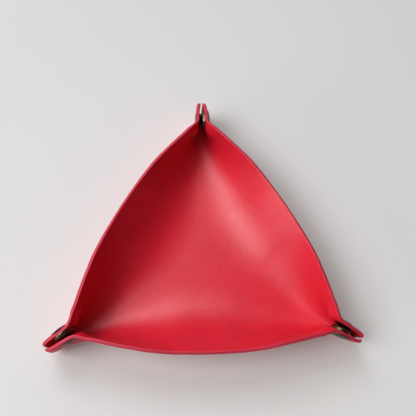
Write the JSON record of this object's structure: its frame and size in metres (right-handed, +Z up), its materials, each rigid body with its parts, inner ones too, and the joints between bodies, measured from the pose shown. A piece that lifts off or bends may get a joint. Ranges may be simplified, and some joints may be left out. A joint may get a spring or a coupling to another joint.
{
  "type": "leather snap tray",
  "caption": "Shallow three-cornered leather catch-all tray, folded from a flat sheet and held in shape by a press stud at each pinched corner.",
  "frame": {"origin": "centre of the floor's underside, on the axis about which the three corners repeat", "axes": "+Z up, out of the tray; +Y towards corner 1; +X along the side between corners 2 and 3, towards corner 3"},
  "size_m": [0.1654, 0.1467, 0.028],
  "materials": {
    "leather": "smooth grained, semi-gloss, with painted edges",
    "antique_brass": "antique, darkened",
    "spring_wire": "bright wire"
  },
  "bodies": {
    "tray": {"tray_leather": "leather", "snap_stud_1": "antique_brass", "snap_post_1": "antique_brass", "snap_stud_2": "antique_brass", "snap_post_2": "antique_brass", "snap_stud_3": "antique_brass", "snap_post_3": "antique_brass"},
    "ear_1": {"corner_ear_1": "leather", "snap_cap_1": "antique_brass", "snap_socket_1": "antique_brass", "snap_spring_1": "spring_wire"},
    "ear_2": {"corner_ear_2": "leather", "snap_cap_2": "antique_brass", "snap_socket_2": "antique_brass", "snap_spring_2": "spring_wire"},
    "ear_3": {"corner_ear_3": "leather", "snap_cap_3": "antique_brass", "snap_socket_3": "antique_brass", "snap_spring_3": "spring_wire"}
  },
  "joints": [
    {"name": "snap_1_open", "type": "hinge", "parent": "tray", "child": "ear_1", "pos_m": [0, 0.0834, 0.00249], "axis": [0, 0.9936, 0.1132], "range_deg": [0, 25], "deforming": ["snap_spring_1"]},
    {"name": "snap_2_open", "type": "hinge", "parent": "tray", "child": "ear_2", "pos_m": [-0.07223, -0.0417, 0.00249], "axis": [-0.8605, -0.4968, 0.1132], "range_deg": [0, 25], "deforming": ["snap_spring_2"]},
    {"name": "snap_3_open", "type": "hinge", "parent": "tray", "child": "ear_3", "pos_m": [0.07223, -0.0417, 0.00249], "axis": [0.8605, -0.4968, 0.1132], "range_deg": [0, 25], "deforming": ["snap_spring_3"]}
  ]
}
